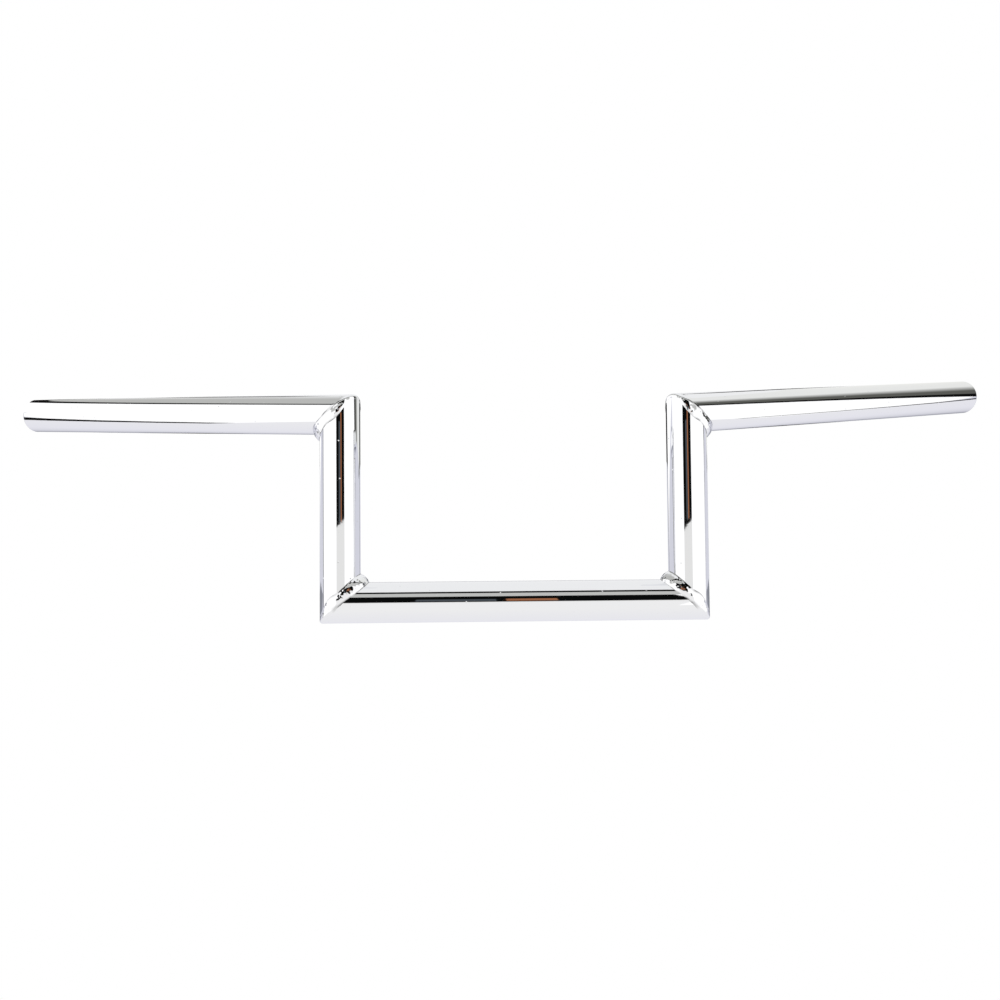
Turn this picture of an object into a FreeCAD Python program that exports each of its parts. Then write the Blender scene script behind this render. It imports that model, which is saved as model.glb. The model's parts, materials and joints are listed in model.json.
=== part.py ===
import FreeCAD, Part
import os

# A z-bar: five straight lengths of steel tube, cut on the mitre and welded at four corners.
# The origin is the middle of the clamp tube. +X runs along the clamp tube, +Z up the risers,
# and +Y is the way the grip tubes sweep back, so left and right are as seen looking along +Y.
os.makedirs("parts", exist_ok=True)
doc = FreeCAD.newDocument("z_bar")

# Driving sizes, in millimetres and degrees.
SIZES = (
    ("tube_diameter", 22.2, "outside of every tube, which a 7/8 inch clamp and grip fit"),
    ("tube_wall", 2.0, "wall of every tube"),
    ("riser_spacing", 192.0, "between the two riser axes"),
    ("riser_height", 103.5, "from the clamp tube's axis to the upper corners"),
    ("grip_length", 268.0, "from an upper corner to the open end, on the axis"),
    ("grip_sweep", 32.0, "how far a grip tube turns back from the clamp tube's line"),
    ("grip_rise", 5.0, "how far a grip tube climbs towards its end, as designed"),
    ("grip_twist", 1.0, "what welding took from the left grip's rise and gave the right one"),
    ("rim_round", 1.0, "rounding of the open end's outer edge"),
    ("mouth_bevel", 0.5, "bevel of the open end's inner edge"),
    ("weld_gap", 1.0, "from the mitre plane to each cut tube end"),
    ("bead_half_width", 3.2, "half the weld bead's section, across the mitre"),
    ("bead_half_depth", 2.4, "half the weld bead's section, into the tubes"),
    ("bead_height", 0.7, "how far the bead stands proud of the tubes at the corner's flanks"),
    ("bead_tip_cover", 0.15, "depth of bead over the tube ends' sharp outer tips"),
    ("bead_corner_fill", 1.8, "how far the bead's middle lies outside the inner corner"),
    ("root_overrun", 0.2, "how far the root is filled and opened past the gap, each way"),
)
sheet = doc.addObject("Spreadsheet::Sheet", "sizes")
for row, (name, value, meaning) in enumerate(SIZES, start=1):
    sheet.set(f"A{row}", name)
    sheet.set(f"B{row}", str(value))
    sheet.setAlias(f"B{row}", name)
    sheet.set(f"C{row}", meaning)
doc.recompute()

TUBE_RADIUS = "(sizes.tube_diameter / 2)"
BORE_RADIUS = "(sizes.tube_diameter / 2 - sizes.tube_wall)"
CUTTER = "(2 * sizes.tube_diameter)"
SAME_RADIUS = 1e-6


def frame(x, y, z, yaw="0", pitch="0", roll="0"):
    """An expression for a place and a turn."""
    return f"placement(vector({x}; {y}; {z}); rotation({yaw}; {pitch}; {roll}))"


def along(place, x="0", y="0", z="0"):
    """An expression for a point given in the axes of another place."""
    return f"{place} * {frame(x, y, z)}"


def add(kind, name, sizes, **links):
    """A document object, its sizes bound to expressions and its other properties set."""
    thing = doc.addObject(kind, name)
    for key, value in links.items():
        setattr(thing, key, value)
    for key, text in sizes.items():
        thing.setExpression(key, text)
    return thing


def cut(name, base, tool):
    """What is left of one solid outside another, with its faces kept as they were cut."""
    return add("Part::Cut", name, {}, Base=base, Tool=tool, Refine=False)


def mitre(name, place):
    """Two blocks that trim the tubes of a corner back from its mitre plane.

    The plane's own axes have Z across it, from the riser to the other tube, and X pointing
    into the corner's inside angle. The first block trims the riser, the second the other tube.
    """
    block = {"Length": CUTTER, "Width": CUTTER, "Height": CUTTER}
    half = f"-{CUTTER} / 2"
    riser_end = along(place, half, half, "-sizes.weld_gap")
    other_end = along(place, half, half, f"sizes.weld_gap - {CUTTER}")
    return (
        add("Part::Box", f"{name}_riser_end", {**block, "Placement": riser_end}),
        add("Part::Box", f"{name}_other_end", {**block, "Placement": other_end}),
    )


def rod(name, place, radius, run, before, after):
    """A round bar along a tube's axis, from before its first corner to after its second."""
    sizes = {
        "Radius": radius,
        "Height": f"{run} + {before} + {after}",
        "Placement": along(place, z=f"-({before})"),
    }
    return add("Part::Cylinder", name, sizes)


def tube(label, place, run, before, after, trims):
    """A mitred tube, as the solid blank that the beads lie on and the bored tube."""
    blank = rod(f"{label}_bar", place, TUBE_RADIUS, run, before, after)
    for number, block in enumerate(trims, start=1):
        blank = cut(f"{label}_trim_{number}", blank, block)
    bore = rod(f"{label}_bore", place, BORE_RADIUS, run, before, after)
    return blank, cut(label, blank, bore)


def circle_number(thing, radius):
    """The number of the full circle of that radius among a solid's edges."""
    doc.recompute()
    for number, edge in enumerate(thing.Shape.Edges, start=1):
        curve = edge.Curve
        if isinstance(curve, Part.Circle) and abs(curve.Radius - radius) < SAME_RADIUS:
            return number
    raise RuntimeError(f"{thing.Name} has no edge of radius {radius}")


def ease_open_end(label, bored):
    """Rounds the outer edge of a tube's open end and bevels the edge of its mouth."""
    rim = circle_number(bored, sheet.tube_diameter / 2)
    rounded = add("Part::Fillet", f"{label}_rim", {}, Base=bored,
                  Edges=[(rim, sheet.rim_round, sheet.rim_round)])
    mouth = circle_number(rounded, sheet.tube_diameter / 2 - sheet.tube_wall)
    return add("Part::Chamfer", label, {}, Base=rounded,
               Edges=[(mouth, sheet.mouth_bevel, sheet.mouth_bevel)])


def slab(name, outline):
    """A plate across the weld gap, with the outline of a closed curve on the mitre plane."""
    sizes = {"LengthFwd": "2 * (sizes.weld_gap + sizes.root_overrun)"}
    return add("Part::Extrusion", name, sizes, Base=outline, DirMode="Normal", Solid=True,
               Symmetric=True)


def weld(label, place, half_turn, riser, other):
    """The bead of a corner: an oval section run round the mitre, bearing on both tubes.

    Its path is an ellipse set off from the mitre's own, so that the bead rounds over the
    outer tips, stands a little proud of the flanks and fills the inside angle. Below it the
    gap between the tube ends is filled down to the bore.
    """
    apex = f"({TUBE_RADIUS} / cos({half_turn}))"
    tip = f"(sizes.weld_gap * tan({half_turn}) - {apex})"
    narrowing = "sqrt(1 - pow(sizes.weld_gap / sizes.bead_half_width; 2))"
    outside = f"({tip} + sizes.bead_half_depth * {narrowing} - sizes.bead_tip_cover)"
    inside = f"({apex} + sizes.bead_corner_fill)"
    path = add("Part::Ellipse", f"{label}_path", {
        "MajorRadius": f"({inside} - {outside}) / 2",
        "MinorRadius": f"{TUBE_RADIUS} + sizes.bead_height - sizes.bead_half_depth",
        "Placement": along(place, f"({inside} + {outside}) / 2"),
    })
    start = frame(f"{path.Name}.MajorRadius", 0, 0, pitch="-90", roll="-90")
    section = add("Part::Ellipse", f"{label}_section", {
        "MajorRadius": "sizes.bead_half_width",
        "MinorRadius": "sizes.bead_half_depth",
        "Placement": f"{path.Name}.Placement * {start}",
    })
    run = add("Part::Sweep", f"{label}_run", {}, Sections=[section], Spine=(path, ["Edge1"]),
              Solid=True, Frenet=True)
    mouth = add("Part::Ellipse", f"{label}_mouth", {
        "MajorRadius": f"{BORE_RADIUS} / cos({half_turn})",
        "MinorRadius": BORE_RADIUS,
        "Placement": place,
    })
    filled = add("Part::Fuse", f"{label}_filled", {}, Base=run, Tool=slab(f"{label}_root", path),
                 Refine=False)
    on_riser = cut(f"{label}_on_riser", filled, riser)
    on_both = cut(f"{label}_on_both", on_riser, other)
    return cut(label, on_both, slab(f"{label}_bore", mouth))


# Where each side's corners lie and which way its grip tube points.
SIDES = {
    "left": {
        "x": "(-sizes.riser_spacing / 2)",
        "inward": "0",
        "outward": "(180 - sizes.grip_sweep)",
        "rise": "(sizes.grip_rise - sizes.grip_twist)",
    },
    "right": {
        "x": "(sizes.riser_spacing / 2)",
        "inward": "180",
        "outward": "sizes.grip_sweep",
        "rise": "(sizes.grip_rise + sizes.grip_twist)",
    },
}
SQUARE = "45"
LOWER_REACH = f"({TUBE_RADIUS} * tan({SQUARE}))"

# The mitre planes of the two lower corners, which are square.
lower = {}
for side, at in SIDES.items():
    place = frame(at["x"], 0, 0, at["inward"], f"-{SQUARE}", "180")
    lower[side] = (place, *mitre(f"lower_{side}_mitre", place))

# The clamp tube lies between the two lower corners and is what the fork's clamps hold.
clamp_place = frame(SIDES["left"]["x"], 0, 0, pitch="90")
clamp_ends = [lower["left"][2], lower["right"][2]]
clamp_blank, clamp_tube = tube(
    "clamp_tube", clamp_place, "sizes.riser_spacing", LOWER_REACH, LOWER_REACH, clamp_ends
)
nodes = [clamp_tube]
beads = []

for side, at in SIDES.items():
    half_turn = f"((90 - {at['rise']}) / 2)"
    reach = f"({TUBE_RADIUS} * tan({half_turn}))"
    place = frame(at["x"], 0, "sizes.riser_height", at["outward"], half_turn)
    riser_top, grip_root = mitre(f"upper_{side}_mitre", place)

    # A riser stands square on the clamp tube, and its top is cut to meet the grip tube.
    lower_place, riser_foot, _ = lower[side]
    riser_blank, riser = tube(
        f"riser_{side}", frame(at["x"], 0, 0), "sizes.riser_height", LOWER_REACH, reach,
        [riser_foot, riser_top],
    )

    # A grip tube runs out, back and up from the riser to its open end.
    grip_place = frame(at["x"], 0, "sizes.riser_height", at["outward"], f"(90 - {at['rise']})")
    grip_blank, grip_bored = tube(
        f"grip_tube_{side}_cut", grip_place, "sizes.grip_length", reach, "0", [grip_root]
    )
    grip_tube = ease_open_end(f"grip_tube_{side}", grip_bored)
    nodes += [riser, grip_tube]

    # The beads of the side's two corners.
    beads.append(weld(f"weld_lower_{side}", lower_place, SQUARE, riser_blank, clamp_blank))
    beads.append(weld(f"weld_upper_{side}", place, half_turn, riser_blank, grip_blank))

nodes.append(add("Part::Compound", "weld_beads", {}, Links=beads))
doc.recompute()

for thing in doc.Objects:
    if "Invalid" in thing.State or "Error" in thing.State:
        raise RuntimeError(f"{thing.Name} did not build: {thing.State}")
for node in nodes:
    shape = node.Shape
    pieces = len(beads) if node.Label == "weld_beads" else 1
    if shape.isNull() or not shape.isValid() or len(shape.Solids) != pieces:
        raise RuntimeError(f"{node.Label} is not sound")

for node in nodes:
    node.Shape.exportStep(f"parts/{node.Label}.step")
    print(node.Label, round(node.Shape.Volume, 1))
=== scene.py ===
import json
import math

import bmesh
import bpy
from mathutils import Matrix, Vector, noise


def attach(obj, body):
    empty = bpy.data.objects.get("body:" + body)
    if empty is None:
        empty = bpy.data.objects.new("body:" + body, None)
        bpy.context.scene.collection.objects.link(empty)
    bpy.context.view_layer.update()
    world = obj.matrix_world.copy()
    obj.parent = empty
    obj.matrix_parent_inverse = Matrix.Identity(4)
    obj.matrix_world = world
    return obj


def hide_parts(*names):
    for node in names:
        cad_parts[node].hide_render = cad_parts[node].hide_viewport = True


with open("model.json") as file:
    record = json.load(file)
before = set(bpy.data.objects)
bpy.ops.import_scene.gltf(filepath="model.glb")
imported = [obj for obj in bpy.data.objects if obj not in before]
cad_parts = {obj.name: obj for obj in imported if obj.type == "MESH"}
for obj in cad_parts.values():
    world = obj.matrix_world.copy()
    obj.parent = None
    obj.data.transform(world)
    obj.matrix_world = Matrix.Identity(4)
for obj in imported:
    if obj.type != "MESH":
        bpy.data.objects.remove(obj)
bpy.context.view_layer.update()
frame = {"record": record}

# The clamp tube: the straight length of drawn steel tube across the bottom, which the fork's
# clamps hold. Both its ends are sawn at 45 degrees to meet the risers, and the whole bar is
# plated in one piece after welding.
mounts = {mount["name"]: mount for mount in frame["record"]["mounts"]}
TUBE_RADIUS = mounts["clamp_section"]["dims"]["r_mm"] / 1000
TUBE_WALL = 0.002
ROUND_STEPS = 192
RISER_SPACING = 0.192
WELD_GAP = 0.001


def linear(colour):
    """A linear colour with alpha from sRGB hex digits."""
    levels = [int(colour[i:i + 2], 16) / 255 for i in (0, 2, 4)]
    return [v / 12.92 if v <= 0.04045 else ((v + 0.055) / 1.055) ** 2.4 for v in levels] + [1]


def node(tree, kind, links=None, inputs=None, **settings):
    """A shader node with its settings, its fixed inputs and its links."""
    made = tree.nodes.new(kind)
    for name, value in settings.items():
        setattr(made, name, value)
    for socket, value in (inputs or {}).items():
        made.inputs[socket].default_value = value
    for socket, source in (links or {}).items():
        tree.links.new(source, made.inputs[socket])
    return made


def new_material(name):
    """A material with an empty node tree, and that tree."""
    material = bpy.data.materials.new(name)
    material.use_nodes = True
    material.node_tree.nodes.clear()
    return material, material.node_tree


# Bright decorative chrome over nickel on polished steel: a cool mirror. The tube under it was
# belt-polished, so reflections waver a little, and a few pits too small for the plating to
# fill catch the light. The pits are drawn coarser than real ones, so that they show.
CHROME = "EEEFF2"
POLISH_WAVE = 0.03
WAVE_DEPTH = 0.0001
PIT_SPACING = 0.006
PIT_SIZE = 0.0004
PIT_DEPTH = 0.0002


def plate(name, haze_low, haze_high):
    """Chrome plate of a given range of roughness, with its shader left open to more links."""
    material, tree = new_material(name)
    place = node(tree, "ShaderNodeTexCoord").outputs["Object"]
    wave = node(tree, "ShaderNodeTexNoise", {"Vector": place},
                {"Scale": 1 / POLISH_WAVE, "Detail": 5, "Roughness": 0.42})
    pit = node(tree, "ShaderNodeTexVoronoi", {"Vector": place}, {"Scale": 1 / PIT_SPACING})
    pit_floor = node(tree, "ShaderNodeMapRange", {"Value": pit.outputs["Distance"]},
                     {"From Max": PIT_SIZE / PIT_SPACING})
    wavy = node(tree, "ShaderNodeBump", {"Height": wave.outputs["Fac"]},
                {"Strength": 0.5, "Distance": WAVE_DEPTH})
    pitted = node(tree, "ShaderNodeBump",
                  {"Height": pit_floor.outputs["Result"], "Normal": wavy.outputs["Normal"]},
                  {"Strength": 0.8, "Distance": PIT_DEPTH})
    haze = node(tree, "ShaderNodeMapRange", {"Value": wave.outputs["Fac"]},
                {"From Min": 0.3, "From Max": 0.7, "To Min": haze_low, "To Max": haze_high})
    shine = node(tree, "ShaderNodeBsdfPrincipled",
                 {"Normal": pitted.outputs["Normal"], "Roughness": haze.outputs["Result"]},
                 {"Base Color": linear(CHROME), "Metallic": 1})
    node(tree, "ShaderNodeOutputMaterial", {"Surface": shine.outputs["BSDF"]})
    return material, tree, shine


chrome, _, _ = plate("bright_chrome_plate", 0.012, 0.03)

# The drawn tube's inside, where plating hardly reaches: dull grey steel with a brown bloom of
# oxide in patches, rougher than the outside.
OXIDE_PATCH = 0.006
OXIDE_DEPTH = 0.0002
bare_steel, tree = new_material("drawn_steel_bore")
place = node(tree, "ShaderNodeTexCoord").outputs["Object"]
bloom = node(tree, "ShaderNodeTexNoise", {"Vector": place},
             {"Scale": 1 / OXIDE_PATCH, "Detail": 5, "Roughness": 0.65})
tint = node(tree, "ShaderNodeValToRGB", {"Fac": bloom.outputs["Fac"]})
tint.color_ramp.elements[0].color = linear("6E6C69")
tint.color_ramp.elements[0].position = 0.42
tint.color_ramp.elements[1].color = linear("5A4A3E")
tint.color_ramp.elements[1].position = 0.68
skin = node(tree, "ShaderNodeBump", {"Height": bloom.outputs["Fac"]},
            {"Strength": 0.5, "Distance": OXIDE_DEPTH})
dull = node(tree, "ShaderNodeBsdfPrincipled",
            {"Base Color": tint.outputs["Color"], "Normal": skin.outputs["Normal"]},
            {"Metallic": 1, "Roughness": 0.5})
node(tree, "ShaderNodeOutputMaterial", {"Surface": dull.outputs["BSDF"]})


def mitre_plane(corner, along_tube, along_other):
    """The plane that a tube is cut back to at a corner, from the ways the two tubes leave it."""
    across = (along_other - along_tube).normalized()
    return corner - across * WELD_GAP, across


def whole(bm):
    """Everything in a mesh, for an operator that works on all of it."""
    return bm.verts[:] + bm.edges[:] + bm.faces[:]


# Rings of edges set in from the rim keep its shading off the long straight faces.
RIM_RINGS = (0.0002, 0.002, 0.02)
RIM_STEPS = 8
BEVEL_STEPS = 2
SAME_POINT = 1e-7


def cut_tube(start, end, cuts, rim_round=0, mouth_bevel=0):
    """A length of tube, its open end eased and its other ends closed on their mitre planes."""
    bore_radius = TUBE_RADIUS - TUBE_WALL
    run = end - start
    bm = bmesh.new()
    corners = [bm.verts.new((radius, 0, height)) for radius, height in (
        (TUBE_RADIUS, 0), (TUBE_RADIUS, run.length), (bore_radius, run.length), (bore_radius, 0))]
    bm.faces.new(corners)
    eased = ((corners[1], rim_round, RIM_STEPS), (corners[2], mouth_bevel, BEVEL_STEPS))
    for corner, size, steps in eased:
        if size:
            bmesh.ops.bevel(bm, geom=[corner], offset=size, segments=steps, profile=0.5,
                            affect="VERTICES", material=-1)
    bmesh.ops.delete(bm, geom=bm.faces[:], context="FACES_ONLY")
    bmesh.ops.spin(bm, geom=bm.verts[:] + bm.edges[:], axis=(0, 0, 1), cent=(0, 0, 0),
                   angle=math.tau, steps=ROUND_STEPS, use_merge=True)
    bmesh.ops.remove_doubles(bm, verts=bm.verts[:], dist=SAME_POINT)
    for inset in RIM_RINGS:
        bmesh.ops.bisect_plane(bm, geom=whole(bm), plane_no=(0, 0, 1),
                               plane_co=(0, 0, run.length - rim_round - inset))
    bmesh.ops.recalc_face_normals(bm, faces=bm.faces[:])
    # The bore is bare steel, up to the first step of its bevel.
    for face in bm.faces:
        middle = face.calc_center_median()
        face.material_index = int(math.hypot(middle.x, middle.y) < bore_radius + mouth_bevel / 4)
    turn = Vector((0, 0, 1)).rotation_difference(run).to_matrix().to_4x4()
    bmesh.ops.transform(bm, matrix=Matrix.Translation(start) @ turn, verts=bm.verts[:])
    for point, normal in cuts:
        split = bmesh.ops.bisect_plane(bm, geom=whole(bm), plane_co=point, plane_no=normal,
                                       clear_outer=True)
        rims = [part for part in split["geom_cut"] if isinstance(part, bmesh.types.BMEdge)]
        bmesh.ops.bridge_loops(bm, edges=rims)
    bmesh.ops.recalc_face_normals(bm, faces=bm.faces[:])
    return bm


SHARP_EDGE = math.radians(40)


def make_piece(name, bm, *materials):
    """An object of a finished mesh, smooth but for its sharp edges."""
    for face in bm.faces:
        face.smooth = True
    for edge in bm.edges:
        edge.smooth = edge.calc_face_angle(0) < SHARP_EDGE
    mesh = bpy.data.meshes.new(name)
    bm.to_mesh(mesh)
    bm.free()
    for material in materials:
        mesh.materials.append(material)
    piece = bpy.data.objects.new(name, mesh)
    bpy.context.scene.collection.objects.link(piece)
    return piece


UP = Vector((0, 0, 1))
RIGHT = Vector((1, 0, 0))
MITRE_SPARE = 1.2 * TUBE_RADIUS
sides = {"left": -RIGHT, "right": RIGHT}
feet = {side: out * RISER_SPACING / 2 for side, out in sides.items()}
clamp_cuts = [mitre_plane(feet[side], -out, UP) for side, out in sides.items()]
spare = RIGHT * MITRE_SPARE
clamp_mesh = cut_tube(feet["left"] - spare, feet["right"] + spare, clamp_cuts)
clamp_tube = make_piece("chromed_clamp_tube", clamp_mesh, chrome, bare_steel)
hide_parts("clamp_tube")
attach(clamp_tube, "root")

# The two risers: upright lengths of the same tube, welded square on the clamp tube at the foot
# and cut at the top to the slant that splits the turn to the grip tube.
RISER_HEIGHT = 0.1035
grip_ways = {side: Vector(mounts[f"bar_end_{side}"]["axis"]) for side in sides}
tops = {side: foot + UP * RISER_HEIGHT for side, foot in feet.items()}
for side, out in sides.items():
    riser_cuts = [mitre_plane(feet[side], UP, -out), mitre_plane(tops[side], -UP, grip_ways[side])]
    riser_mesh = cut_tube(feet[side] - UP * MITRE_SPARE, tops[side] + UP * MITRE_SPARE, riser_cuts)
    riser = make_piece(f"chromed_riser_{side}", riser_mesh, chrome, bare_steel)
    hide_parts(f"riser_{side}")
    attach(riser, "root")

# The two grip tubes: the lengths of tube that the hands hold, welded on the risers and sweeping
# out, back and a little up. The outer end is sawn square and left open, with its rim rounded off
# and its mouth eased.
MOUTH_BEVEL = 0.0005
# A hair rounder than the solid's rim, so that it stays inside it.
RIM_ROUND = 0.00105
for side, way in grip_ways.items():
    bar_end = Vector(mounts[f"bar_end_{side}"]["pos_m"])
    grip_cuts = [mitre_plane(tops[side], way, -UP)]
    grip_mesh = cut_tube(tops[side] - way * MITRE_SPARE, bar_end, grip_cuts, RIM_ROUND, MOUTH_BEVEL)
    grip = make_piece(f"chromed_grip_tube_{side}", grip_mesh, chrome, bare_steel)
    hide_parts(f"grip_tube_{side}")
    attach(grip, "root")

# The weld beads: one run of weld metal round each mitred corner, broad and low on the flanks,
# filling the inside angle and rounding over the outer tips. It was laid by hand and plated with
# the tubes, unground, so it is lumpy, lies to the riser's side and shines as they do.
BEAD_HALF_WIDTH = 0.0046
BEAD_HALF_DEPTH = 0.0024
BEAD_HEIGHT = 0.0007
BEAD_FILL = 0.0036
BEAD_SHIFT = 0.0022
BEAD_STEPS = 300
SECTION_STEPS = 64
SECTION_BACK = 0.1
TIP_RADIUS = 0.002
TIP_HEIGHT = 0.0002
TIP_FADE = TUBE_RADIUS / 2
# How sharply the flanks rise to the ridge, and the lumps' widths and depths.
BEAD_PEAK = 2
LUMPS = ((0.003, 0.00036), (0.0013, 0.00018), (0.0007, 0.0001))
# The painted shade of the dark toe line: its height up the bead, the length of its breaks, its mean
# and its change.
TOE_SHADOW = 0.00045
TOE_BREAKS = 0.003
TOE_MEAN = 0.8
TOE_CHANGE = 1.3

# Chrome over weld metal: the same mirror, a shade hazier, with a broken dark line of painted shade
# in the crease at each toe, darkening the plating's colour there.
weld_chrome, tree, shine = plate("chrome_over_weld", 0.03, 0.06)
toe = node(tree, "ShaderNodeAttribute", attribute_name="toe_shadow")
painted_crease_shade = node(tree, "ShaderNodeMix", {"Factor": toe.outputs["Fac"]},
               {"A": linear(CHROME), "B": linear("1A1918")}, data_type="RGBA")
tree.links.new(painted_crease_shade.outputs["Result"], shine.inputs["Base Color"])


def bead_frames(corner, along_riser, along_other):
    """The places round a mitre that a unit section passes, X outwards and Z across, to size."""
    across = (along_other - along_riser).normalized()
    inwards = (along_other + along_riser).normalized()
    flank = across.cross(inwards)
    lean = along_other.dot(inwards)
    apex = TUBE_RADIUS / along_other.dot(across)
    for step in range(BEAD_STEPS):
        turn = math.tau * step / BEAD_STEPS
        inside = max(0, math.cos(turn)) ** 2
        outside = min(0, math.cos(turn)) ** 2
        crease = corner + inwards * apex * math.cos(turn) + flank * TUBE_RADIUS * math.sin(turn)
        outwards = inwards * TUBE_RADIUS * math.cos(turn) + flank * apex * math.sin(turn)
        outwards.normalize()
        half_width = BEAD_HALF_WIDTH + (TIP_RADIUS - BEAD_HALF_WIDTH) * outside
        half_depth = BEAD_HALF_DEPTH + (TIP_RADIUS - BEAD_HALF_DEPTH) * outside
        height = BEAD_HEIGHT + (TIP_HEIGHT - BEAD_HEIGHT) * outside + BEAD_FILL * inside
        fall = math.tan(math.asin(lean * math.sqrt(outside)))
        middle = crease - outwards * (math.hypot(half_depth, half_width * fall) - height)
        middle += along_riser * BEAD_SHIFT * math.sin(turn) ** 2 * (1 - outside) ** 2
        axes = (outwards * half_depth, across.cross(outwards), across * half_width)
        yield Matrix.Translation(middle) @ Matrix(axes).transposed().to_4x4()


def lay_bead(frames):
    """One closed bead: a D section carried from place to place round the mitre."""
    bm = bmesh.new()
    bmesh.ops.create_circle(bm, cap_ends=True, segments=SECTION_STEPS, radius=1)
    bmesh.ops.rotate(bm, matrix=Matrix.Rotation(math.pi / 2, 3, "X"), verts=bm.verts[:])
    bmesh.ops.bisect_plane(bm, geom=whole(bm), plane_co=(-SECTION_BACK, 0, 0),
                           plane_no=(-1, 0, 0), clear_outer=True)
    bmesh.ops.delete(bm, geom=bm.faces[:], context="FACES_ONLY")
    bmesh.ops.transform(bm, matrix=frames[0], verts=bm.verts[:])
    first = bm.edges[:]
    rim = first
    for before, after in zip(frames, frames[1:]):
        moved = bmesh.ops.extrude_edge_only(bm, edges=rim)["geom"]
        rim = [part for part in moved if isinstance(part, bmesh.types.BMEdge)]
        verts = [part for part in moved if isinstance(part, bmesh.types.BMVert)]
        bmesh.ops.transform(bm, matrix=after @ before.inverted(), verts=verts)
    bmesh.ops.bridge_loops(bm, edges=first + rim)
    bmesh.ops.recalc_face_normals(bm, faces=bm.faces[:])
    return bm


def above_tube(point, start, way):
    """How far a point lies outside a tube's surface."""
    offset = point - start
    return (offset - way * offset.dot(way)).length - TUBE_RADIUS


corners = {f"lower_{side}": (feet[side], UP, -out) for side, out in sides.items()}
corners |= {f"upper_{side}": (tops[side], -UP, grip_ways[side]) for side in sides}
for name, (corner, along_riser, along_other) in corners.items():
    bead_mesh = lay_bead(list(bead_frames(corner, along_riser, along_other)))
    bead_mesh.normal_update()
    inwards = (along_riser + along_other).normalized()
    toe_shadow = bead_mesh.verts.layers.float.new("toe_shadow")

    # The flanks sink to leave a lumpy ridge, and the painted shade of the dark line at the toes is
    # broken and fades out before the outer tips.
    for vert in bead_mesh.verts:
        offset = vert.co - corner
        nearer = max(along_riser, along_other, key=offset.dot)
        clear = max(0, above_tube(vert.co, corner, nearer))
        lumps = sum(depth * (noise.noise(vert.co / size) + 1) / 2 for size, depth in LUMPS)
        risen = min(1, clear / BEAD_HEIGHT)
        sunk = BEAD_HEIGHT * risen - (BEAD_HEIGHT - lumps) * risen ** BEAD_PEAK
        off_tip = min(1, max(0, 1 + offset.dot(inwards) / TIP_FADE))
        broken = min(1, max(0, TOE_MEAN + TOE_CHANGE * noise.noise(vert.co / TOE_BREAKS)))
        # Painted shade: the toe's dark line, strongest where the bead meets the tube.
        vert[toe_shadow] = max(0, 1 - clear / TOE_SHADOW) * off_tip * broken
        vert.co -= vert.normal * sunk
    bead = make_piece(f"chromed_weld_{name}", bead_mesh, weld_chrome)
    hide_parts("weld_beads")
    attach(bead, "root")

# The studio floor: a plain white sheet that runs out to a white surround. The plating sees it grow
# cooler and darker towards the back: painted shade in the floor's own glow, as the light falls off.
FLOOR_DROP = 0.3
FLOOR_REACH = 6
FLOOR_NEAR = -0.3
FLOOR_FAR = 2.5
scene = bpy.context.scene
scene.view_settings.view_transform = "Standard"
white_floor, tree = new_material("white_studio_floor")
place = node(tree, "ShaderNodeTexCoord").outputs["Object"]
depth = node(tree, "ShaderNodeSeparateXYZ", {"Vector": place})
towards_back = node(tree, "ShaderNodeMapRange", {"Value": depth.outputs["Y"]},
                    {"From Min": FLOOR_NEAR, "From Max": FLOOR_FAR})
cooler = node(tree, "ShaderNodeValToRGB", {"Fac": towards_back.outputs["Result"]})
cooler.color_ramp.elements[0].color = linear("FDFCFA")
cooler.color_ramp.elements[1].color = linear("8E9098")
cooler.color_ramp.elements.new(0.29).color = linear("F2F1F7")
cooler.color_ramp.elements.new(0.6).color = linear("C6C6D0")
ray = node(tree, "ShaderNodeLightPath")
seen = node(tree, "ShaderNodeMix",
            {"Factor": ray.outputs["Is Camera Ray"], "A": cooler.outputs["Color"]},
            {"B": (1, 1, 1, 1)}, data_type="RGBA")
lit = node(tree, "ShaderNodeEmission", {"Color": seen.outputs["Result"]})
node(tree, "ShaderNodeOutputMaterial", {"Surface": lit.outputs["Emission"]})
floor_mesh = bmesh.new()
bmesh.ops.create_grid(floor_mesh, x_segments=1, y_segments=1, size=FLOOR_REACH)
bmesh.ops.translate(floor_mesh, vec=(0, 0, -FLOOR_DROP), verts=floor_mesh.verts[:])
floor = make_piece("studio_floor", floor_mesh, white_floor)

# The light tent: white cloth sheets round the bar on black rods, with a dark opening in front
# for the camera, where two dull cards stand. Only the plating sees them, as reflections.
TENT_SIDE = 0.84
TENT_FRONT = -0.5
TENT_BACK = 1.6
TENT_FOOT = -0.28
OPENING_LEFT = -0.215
OPENING_RIGHT = 0.2
FRONT_SEAM = 0.31
FRONT_TOP = 0.62
LEFT_SEAM = 0.35
LEFT_TOP = 0.83
LEFT_FALL = 0.165
RIGHT_SEAM = 0.2
RIGHT_TOP = 0.93
RIGHT_ROD_TOP = 1.04
RIGHT_FALL = 1.2
SHADE_LOW = 0.62
SHADE_HIGH = 1.02
ROD_SIDE = 0.83
ROD_FOOT = -0.6
ROD_LEAN = 0.16
BACK_ROD_FOOT = -0.3
BACK_ROD_TOP = 1.4
CARD_FOOT = 0.056


def cloth(name, colour, strength):
    """A material for a lit sheet of tent cloth."""
    material, tree = new_material(name)
    glow = node(tree, "ShaderNodeEmission", None, {"Color": linear(colour), "Strength": strength})
    node(tree, "ShaderNodeOutputMaterial", {"Surface": glow.outputs["Emission"]})
    return material


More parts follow.
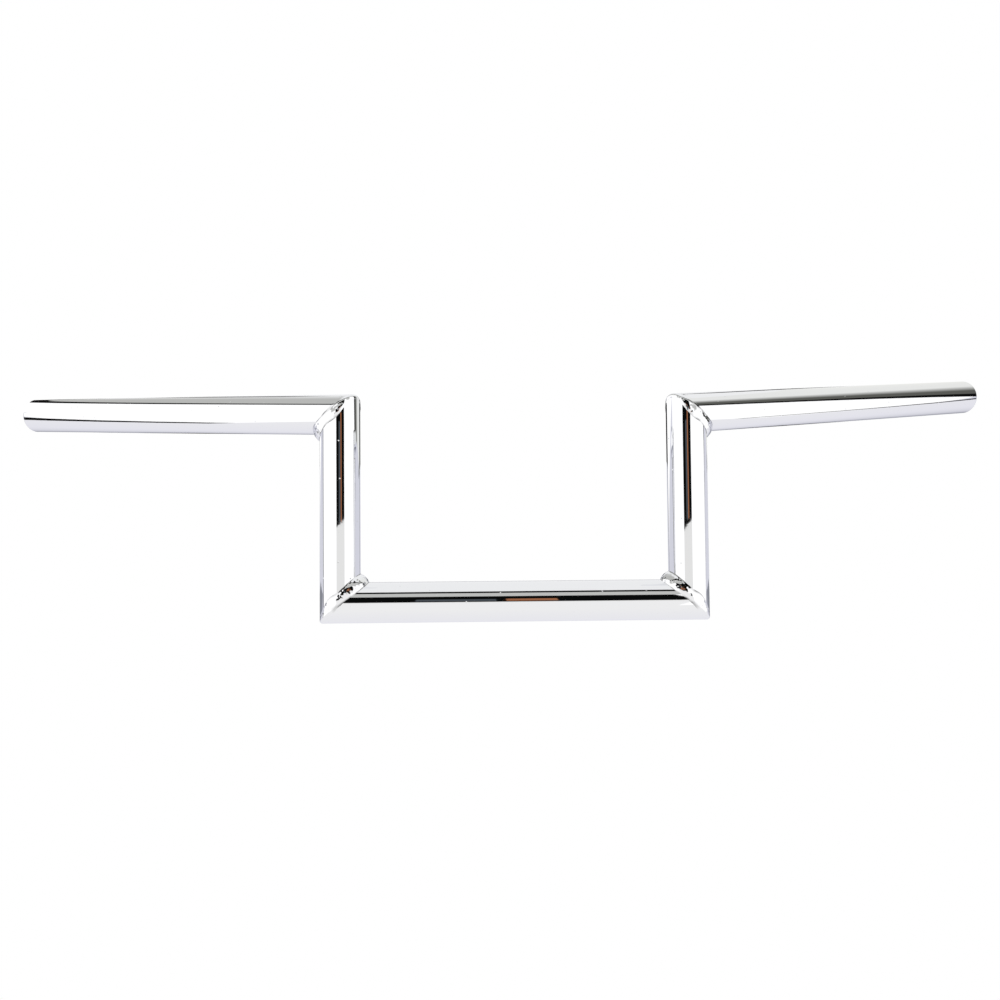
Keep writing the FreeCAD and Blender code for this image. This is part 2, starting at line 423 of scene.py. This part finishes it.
def hang(name, material, low, high, fall=0, lean=0):
    """A sheet between two opposite corners, which the camera itself doesn't see.

    Its edges fall, and its sides lean as they rise, towards the second corner.
    """
    low, high = Vector(low), Vector(high)
    across = Vector((high.x - low.x, high.y - low.y, 0))
    up = (UP + across.normalized() * lean) * (high.z - low.z)
    across -= UP * across.length * fall
    place = Matrix((across, up, across.cross(up).normalized())).transposed().to_4x4()
    place.translation = low + (across + up) / 2
    bm = bmesh.new()
    bmesh.ops.create_grid(bm, x_segments=1, y_segments=1, size=0.5, matrix=place)
    sheet = make_piece(name, bm, material)
    sheet.visible_camera = False
    sheet.visible_shadow = False


def shaded_cloth(name, dark, light, low, high, fall):
    """A material for a falling sheet of tent cloth that grows lighter between two heights."""
    material, tree = new_material(name)
    place = node(tree, "ShaderNodeTexCoord").outputs["Object"]
    part = node(tree, "ShaderNodeSeparateXYZ", {"Vector": place})
    height = node(tree, "ShaderNodeMath", {0: part.outputs["Y"], 2: part.outputs["Z"]}, {1: fall},
                  operation="MULTIPLY_ADD")
    rise = node(tree, "ShaderNodeMapRange", {"Value": height.outputs["Value"]},
                {"From Min": low, "From Max": high})
    colour = node(tree, "ShaderNodeMix", {"Factor": rise.outputs["Result"]},
                  {"A": linear(dark), "B": linear(light)}, data_type="RGBA")
    glow = node(tree, "ShaderNodeEmission", {"Color": colour.outputs["Result"]})
    node(tree, "ShaderNodeOutputMaterial", {"Surface": glow.outputs["Emission"]})
    return material


white_cloth = cloth("white_tent_cloth", "FFFEFC", 1.2)
grey_cloth = cloth("grey_tent_cloth", "CACAC6", 1)
black_rod = cloth("black_tent_rod", "101010", 1)
brown_card = cloth("brown_card", "A0694A", 1)
grey_card = cloth("blue_grey_card", "4C5156", 1)
falling_off = shaded_cloth("tent_cloth_in_shade", "60605B", "F4F4F0", SHADE_LOW, SHADE_HIGH,
                           RIGHT_FALL)
hang("tent_left", white_cloth,
     (-TENT_SIDE, TENT_FRONT, TENT_FOOT), (-TENT_SIDE, 0.12, LEFT_SEAM), LEFT_FALL)
hang("tent_left_upper", white_cloth,
     (-TENT_SIDE, TENT_FRONT, LEFT_SEAM), (-TENT_SIDE, TENT_BACK, LEFT_TOP), LEFT_FALL)
hang("tent_right", white_cloth,
     (TENT_SIDE, TENT_FRONT, TENT_FOOT), (TENT_SIDE, 0.14, RIGHT_TOP), RIGHT_FALL)
hang("tent_right_upper", falling_off,
     (TENT_SIDE, TENT_FRONT, RIGHT_ROD_TOP), (TENT_SIDE, RIGHT_SEAM, 2), RIGHT_FALL)
hang("tent_right_back", falling_off,
     (TENT_SIDE, RIGHT_SEAM, 0.19), (TENT_SIDE, TENT_BACK, 1.16))
hang("tent_front_left", white_cloth,
     (-TENT_SIDE, TENT_FRONT, TENT_FOOT), (OPENING_LEFT, TENT_FRONT, FRONT_SEAM))
hang("tent_front_right", white_cloth,
     (OPENING_RIGHT, TENT_FRONT, TENT_FOOT), (TENT_SIDE, TENT_FRONT, FRONT_SEAM))
hang("tent_front_top", grey_cloth,
     (-TENT_SIDE, TENT_FRONT, FRONT_SEAM), (TENT_SIDE, TENT_FRONT, FRONT_TOP))
hang("rod_front_top", black_rod,
     (-TENT_SIDE, TENT_FRONT, FRONT_TOP), (TENT_SIDE, TENT_FRONT, 0.9))
hang("rod_left_top", black_rod,
     (-TENT_SIDE, TENT_FRONT, LEFT_TOP), (-TENT_SIDE, TENT_BACK, 0.93), LEFT_FALL)
hang("rod_left_back", black_rod,
     (-ROD_SIDE, 0.018, ROD_FOOT), (-ROD_SIDE, 0.07, 0.2), lean=ROD_LEAN)
hang("rod_right_top", black_rod,
     (TENT_SIDE, TENT_FRONT, RIGHT_TOP), (TENT_SIDE, RIGHT_SEAM, RIGHT_ROD_TOP), RIGHT_FALL)
hang("rod_right_back", black_rod,
     (ROD_SIDE, 0.039, ROD_FOOT), (ROD_SIDE, 0.057, 0.12), lean=ROD_LEAN)
hang("rod_back_top", black_rod, (-1.2, TENT_BACK, 0.2), (1.3, TENT_BACK, 0.4))
hang("rod_back_left", black_rod,
     (-0.75, TENT_BACK, BACK_ROD_FOOT), (-0.6, TENT_BACK, BACK_ROD_TOP))
hang("rod_back_right", black_rod,
     (0.65, TENT_BACK, BACK_ROD_FOOT), (0.8, TENT_BACK, BACK_ROD_TOP))
hang("brown_card", brown_card, (0.012, -0.58, CARD_FOOT), (0.07, -0.58, 0.18))
hang("grey_card", grey_card, (-0.09, -0.6, CARD_FOOT), (0, -0.6, 0.17))

# Beyond the tent the plating sees a pale cool backdrop behind, light cloth overhead, and in
# front, through the opening, a dark room over a pale floor.
world = bpy.data.worlds.new("studio_surround")
scene.world = world
world.use_nodes = True
tree = world.node_tree
tree.nodes.clear()
towards = node(tree, "ShaderNodeTexCoord").outputs["Generated"]
way = node(tree, "ShaderNodeSeparateXYZ", {"Vector": towards})
high = node(tree, "ShaderNodeMapRange", {"Value": way.outputs["Z"]},
            {"From Min": 0.15, "From Max": 0.45})
overhead = node(tree, "ShaderNodeMix", {"Factor": high.outputs["Result"]},
                {"A": linear("DFDFE8"), "B": linear("FBFBFA")}, data_type="RGBA")

# The cloth overhead is in shade to the left.
leftward = node(tree, "ShaderNodeMapRange", {"Value": way.outputs["X"]},
                {"From Min": -0.2, "From Max": -0.45})
shaded = node(tree, "ShaderNodeMath", {0: leftward.outputs["Result"], 1: high.outputs["Result"]},
              operation="MULTIPLY")
shade = node(tree, "ShaderNodeMix",
             {"Factor": shaded.outputs["Value"], "A": overhead.outputs["Result"]},
             {"B": linear("C4C4C0")}, data_type="RGBA")

# The room in front meets its floor at a line that tilts a little.
tilt = node(tree, "ShaderNodeMath", {0: way.outputs["X"], 2: way.outputs["Z"]}, {1: -0.012},
            operation="MULTIPLY_ADD")
horizon = node(tree, "ShaderNodeMapRange", {"Value": tilt.outputs["Value"]},
               {"From Min": 0.0165, "From Max": 0.0175})
room = node(tree, "ShaderNodeMix", {"Factor": horizon.outputs["Result"]},
            {"A": linear("F2F1EE"), "B": linear("0B0C0C")}, data_type="RGBA")

# The room shows to the front, up to where the cloth overhead begins.
forward = node(tree, "ShaderNodeMapRange", {"Value": way.outputs["Y"]},
               {"From Min": -0.3, "From Max": -0.45})
low = node(tree, "ShaderNodeMapRange", {"Value": way.outputs["Z"]},
           {"From Min": 0.82, "From Max": 0.78})
ahead = node(tree, "ShaderNodeMath", {0: forward.outputs["Result"], 1: low.outputs["Result"]},
             operation="MULTIPLY")
around = node(tree, "ShaderNodeMix",
              {"Factor": ahead.outputs["Value"], "A": shade.outputs["Result"],
               "B": room.outputs["Result"]},
              data_type="RGBA")
ray = node(tree, "ShaderNodeLightPath")
seen = node(tree, "ShaderNodeMix",
            {"Factor": ray.outputs["Is Camera Ray"], "A": around.outputs["Result"]},
            {"B": (1, 1, 1, 1)}, data_type="RGBA")
glow = node(tree, "ShaderNodeBackground", {"Color": seen.outputs["Result"]})
node(tree, "ShaderNodeOutputWorld", {"Surface": glow.outputs["Background"]})

# The camera, in front of the bar, level with the risers' lower third and a little left of the
# middle. Its lens is as long as its sensor is wide.
camera = bpy.data.objects.new("camera", bpy.data.cameras.new("camera"))
camera.data.sensor_width = 36
camera.data.lens = 36
camera.location = (-0.0216, -0.5517, 0.03271)
camera.rotation_euler = [math.radians(angle) for angle in (92.391, 0.510, -1.390)]
scene.collection.objects.link(camera)
scene.camera = camera
